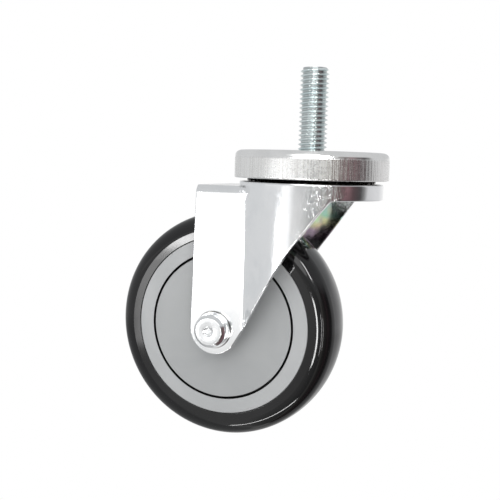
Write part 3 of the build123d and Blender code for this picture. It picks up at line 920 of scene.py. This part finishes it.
def cap_steel():
    """The cap's plated sheet: polished on top and round its edge, finely streaked down its drawn wall."""
    material, tree = new_material("cap_steel")
    place = object_place(tree)
    plate = plating(tree, place, *CAP_TONES, polished=0.14, dull=0.22)
    height = split(tree, place)["Z"]
    wall = product(tree, ramp_node(tree, height, *CAP_WALL_TOP), ramp_node(tree, height, *CAP_WALL_LOW))
    streak = effect(tree, STREAKS, {"Vector": place, **CAP_LINES})
    shade = product(tree, product(tree, streak["Mask"], wall), CAP_STREAK_SHARE)
    carved = product(tree, product(tree, streak["Height"], wall), CAP_STREAK_DEPTH)
    finish_metal(
        tree,
        mix_colour(tree, shade, plate["Color"], CAP_STREAK_COLOUR),
        total(tree, plate["Roughness"], product(tree, wall, CAP_WALL_ROUGHNESS)),
        total(tree, plate["Height"], carved),
        strength=0.3,
    )
    return material


def stem_steel():
    """The plated stem: bright on its crests and darker in its root, by distance from the axis."""
    material, tree = new_material("stem_steel")
    place = object_place(tree)
    plate = plating(tree, place, *STEM_TONES, polished=0.14, dull=0.24)
    away = away_from_z(tree, split(tree, place))
    in_root = ramp_node(tree, away, THREAD_ROOT_FROM, THREAD_ROOT_TO, 1.0, 0.0)
    patch = ramp_node(tree, noise_node(tree, place, THREAD_ROOT_PATCHES), 0.3, 0.6, THREAD_ROOT_LEAST, 1.0)
    lines = effect(tree, TURNED, {"Vector": place, "Lines": THREAD_LINES})
    colour = mix_colour(tree, product(tree, in_root, patch), plate["Color"], THREAD_ROOT_TONE)
    height = total(tree, plate["Height"], lines["Height"])
    finish_metal(tree, colour, plate["Roughness"], height, strength=0.25)
    return material


def press_crinkles(tree, place, parts, side):
    """Height of the crinkles, strongest at PRESS_SPOTS on both sides of the fork."""
    folded = joined(tree, parts["X"], side, parts["Z"])
    crinkle = 0.0
    for spot, reach in PRESS_SPOTS:
        away = vector_node(tree, "DISTANCE", folded, tuple(np.array(spot) * MM))
        near = ramp_node(tree, away, CRINKLE_FULL * reach * MM, reach * MM, 1.0, 0.0)
        crinkle = math_node(tree, "MAXIMUM", near, crinkle)
    drawn_up = add(tree, "ShaderNodeMapping", {"Vector": place, "Scale": CRINKLE_STRETCH}).outputs[0]
    wrinkles = noise_node(tree, drawn_up, CRINKLE_SCALE, detail=2.0, roughness=0.6, distortion=1.0)
    return product(tree, product(tree, wrinkles, crinkle), CRINKLE_HEIGHT)


def washer_shade(tree, place, parts, side):
    """1 in the corner where a washer lies on the outside of a leg, where shade is painted, and 0 elsewhere.
    """
    round_axle = away_from_z(tree, split(tree, about_axle(tree, place)))
    rim = ramp_node(tree, parts["Y"], -FORK_INSIDE_Y, FORK_INSIDE_Y, HEAD_WASHER_RADIUS, NUT_WASHER_RADIUS)
    past_rim = math_node(tree, "SUBTRACT", round_axle, rim)
    corner = ramp_node(tree, past_rim, WASHER_SHADE_FULL * WASHER_SHADE_WIDTH, WASHER_SHADE_WIDTH, 1.0, 0.0)
    return product(tree, corner, math_node(tree, "GREATER_THAN", side, FORK_INSIDE_Y))


def fork_steel():
    """The fork's plated sheet: crinkled where the press drew it hardest, tinted by passivation on its inside,
    dark with grease and painted shade between the races, and with painted shade round the washers."""
    material, tree = new_material("fork_steel")
    place = object_place(tree)
    parts = split(tree, place)
    side = math_node(tree, "ABSOLUTE", parts["Y"])
    away = away_from_z(tree, parts)
    plate = plating(tree, place, *FORK_TONES, polished=0.10, dull=0.17, clouds=FORK_CLOUDS)
    streak = effect(tree, STREAKS, {"Vector": place, **FORK_LINES})
    scuff = effect(tree, SCUFFS, {"Vector": place, "Amount": FORK_SCUFFS})["Mask"]
    film = effect(tree, FILM, {"Vector": place, "Top": FILM_TOP, "Bottom": FILM_BOTTOM})["Color"]

    in_crown = math_node(tree, "LESS_THAN", away, FORK_INSIDE_RADIUS)
    in_legs = product(tree, math_node(tree, "LESS_THAN", side, FORK_INSIDE_Y),
                      math_node(tree, "LESS_THAN", parts["X"], 0.0))
    inside = product(tree, math_node(tree, "MAXIMUM", in_crown, in_legs),
                     math_node(tree, "LESS_THAN", parts["Z"], FORK_UNDERSIDE))
    # Dark grease and painted shade on the boss above the underside, in the gap under the cap
    greased_and_shaded = product(tree, math_node(tree, "LESS_THAN", away, GREASE_AND_SHADE_RADIUS),
                      math_node(tree, "GREATER_THAN", parts["Z"], FORK_UNDERSIDE))
    colour = mix_colour(tree, product(tree, inside, FILM_SHARE), plate["Color"], film)
    colour = mix_colour(tree, greased_and_shaded, colour, GREASE_AND_SHADE_COLOUR)
    # Painted shade in the corner round each washer on the legs
    colour = mix_colour(tree, washer_shade(tree, place, parts, side), colour, WASHER_SHADE_COLOUR)

    roughness = total(tree, plate["Roughness"], product(tree, scuff, FORK_SCUFF_ROUGHNESS))
    height = total(tree, plate["Height"], product(tree, streak["Height"], FORK_LINE_RISE))
    height = total(tree, height, press_crinkles(tree, place, parts, side))
    finish_metal(tree, colour, roughness, height, strength=0.3)
    return material


def moulded_plastic(name, tones, smooth, rough, pebble, flow, depth, shaded_groove=False, ior=1.5):
    """Moulded plastic: a skin pebbled to depth millimetres with slow swirls of tone and gloss, which, if
    asked, has painted shade, near-black, in the groove round the cover."""
    material, tree = new_material(name)
    place = object_place(tree)
    grain = effect(tree, GRAIN, {"Vector": place, "Pebble": pebble, "Flow": flow})
    colour = mix_colour(tree, grain["Mask"], *((*tone, 1) for tone in tones))
    if shaded_groove:
        # Painted shade: near-black in the groove round the cover
        parts = split(tree, about_axle(tree, place))
        past = math_node(tree, "SUBTRACT", away_from_z(tree, parts), GROOVE_RADIUS)
        in_ring = math_node(tree, "LESS_THAN", math_node(tree, "ABSOLUTE", past), GROOVE_HALF)
        deep = math_node(tree, "LESS_THAN", math_node(tree, "ABSOLUTE", parts["Z"]), GROOVE_FACE)
        groove_shade = product(tree, in_ring, deep)
        colour = mix_colour(tree, groove_shade, colour, GROOVE_SHADE_COLOUR)
    finish_surface(tree, add(tree, "ShaderNodeBsdfPrincipled", {
        "Base Color": colour, "Roughness": between(tree, grain["Mask"], smooth, rough), "IOR": ior,
        "Normal": bump(tree, grain["Height"], 0.2, depth * MM),
    }))
    return material


# Steel parts: two tones, how smooth and how dull the plating gets, turned lines, and scuffs
BRIGHT = (0.96, 0.965, 0.97), (0.90, 0.91, 0.92)
STEELS = {
    "race_steel": dict(tones=((0.72, 0.72, 0.71), (0.6, 0.6, 0.59)), polished=0.18, dull=0.3,
                       turned=(3000.0, 1.0, 0.08)),
    "ball_steel": dict(tones=((0.84, 0.85, 0.86), (0.8, 0.81, 0.82)), polished=0.05, dull=0.09, scuffs=0.1),
    "axle_steel": dict(tones=BRIGHT, polished=0.11, dull=0.2, turned=(3500.0, 1.2, 0.05), axle=True),
    "nut_steel": dict(tones=BRIGHT, polished=0.14, dull=0.24, scuffs=0.6),
    "spacer_steel": dict(tones=BRIGHT, polished=0.16, dull=0.26, turned=(3000.0, 1.2, 0.06), axle=True),
    "cage_steel": dict(tones=((0.75, 0.75, 0.72), (0.66, 0.66, 0.64)), polished=0.2, dull=0.32),
    "shield_steel": dict(tones=((0.78, 0.78, 0.79), (0.7, 0.7, 0.71)), polished=0.22, dull=0.34,
                         turned=(2500.0, 1.2, 0.06), axle=True),
}

# Plastic parts: two tones, roughness from and to, scales of the pebble and the swirls, and the pebble's depth
PLASTICS = {
    "core_plastic": dict(tones=((0.455, 0.465, 0.47), (0.43, 0.44, 0.445)), smooth=0.38, rough=0.46,
                         pebble=3500.0, flow=35.0, depth=0.01, shaded_groove=True, ior=1.35),
    "cover_plastic": dict(tones=((0.40, 0.41, 0.413), (0.375, 0.385, 0.39)), smooth=0.3, rough=0.38,
                          pebble=4500.0, flow=30.0, depth=0.006, shaded_groove=True, ior=1.35),
    "tyre_black": dict(tones=((0.0055, 0.0055, 0.006), (0.0045, 0.0045, 0.005)), smooth=0.05, rough=0.10,
                       pebble=2500.0, flow=45.0, depth=0.003),
}

finishes = {"stem_steel": stem_steel(), "cap_steel": cap_steel(), "fork_steel": fork_steel()}
finishes.update((name, plated_steel(name, **values)) for name, values in STEELS.items())
finishes.update((name, moulded_plastic(name, **values)) for name, values in PLASTICS.items())

node_slots = {row["node"]: row["material_slot"] for row in frame["record"]["subparts"]}
for name, node in frame["nodes"].items():
    node.data.materials.clear()
    node.data.materials.append(finishes[node_slots[name]])
for piece, finish in (
    (stem, "stem_steel"), (bolt, "axle_steel"), (lock_ring, "cover_plastic"), (pressing, "fork_steel"),
):
    piece.data.materials.append(finishes[finish])
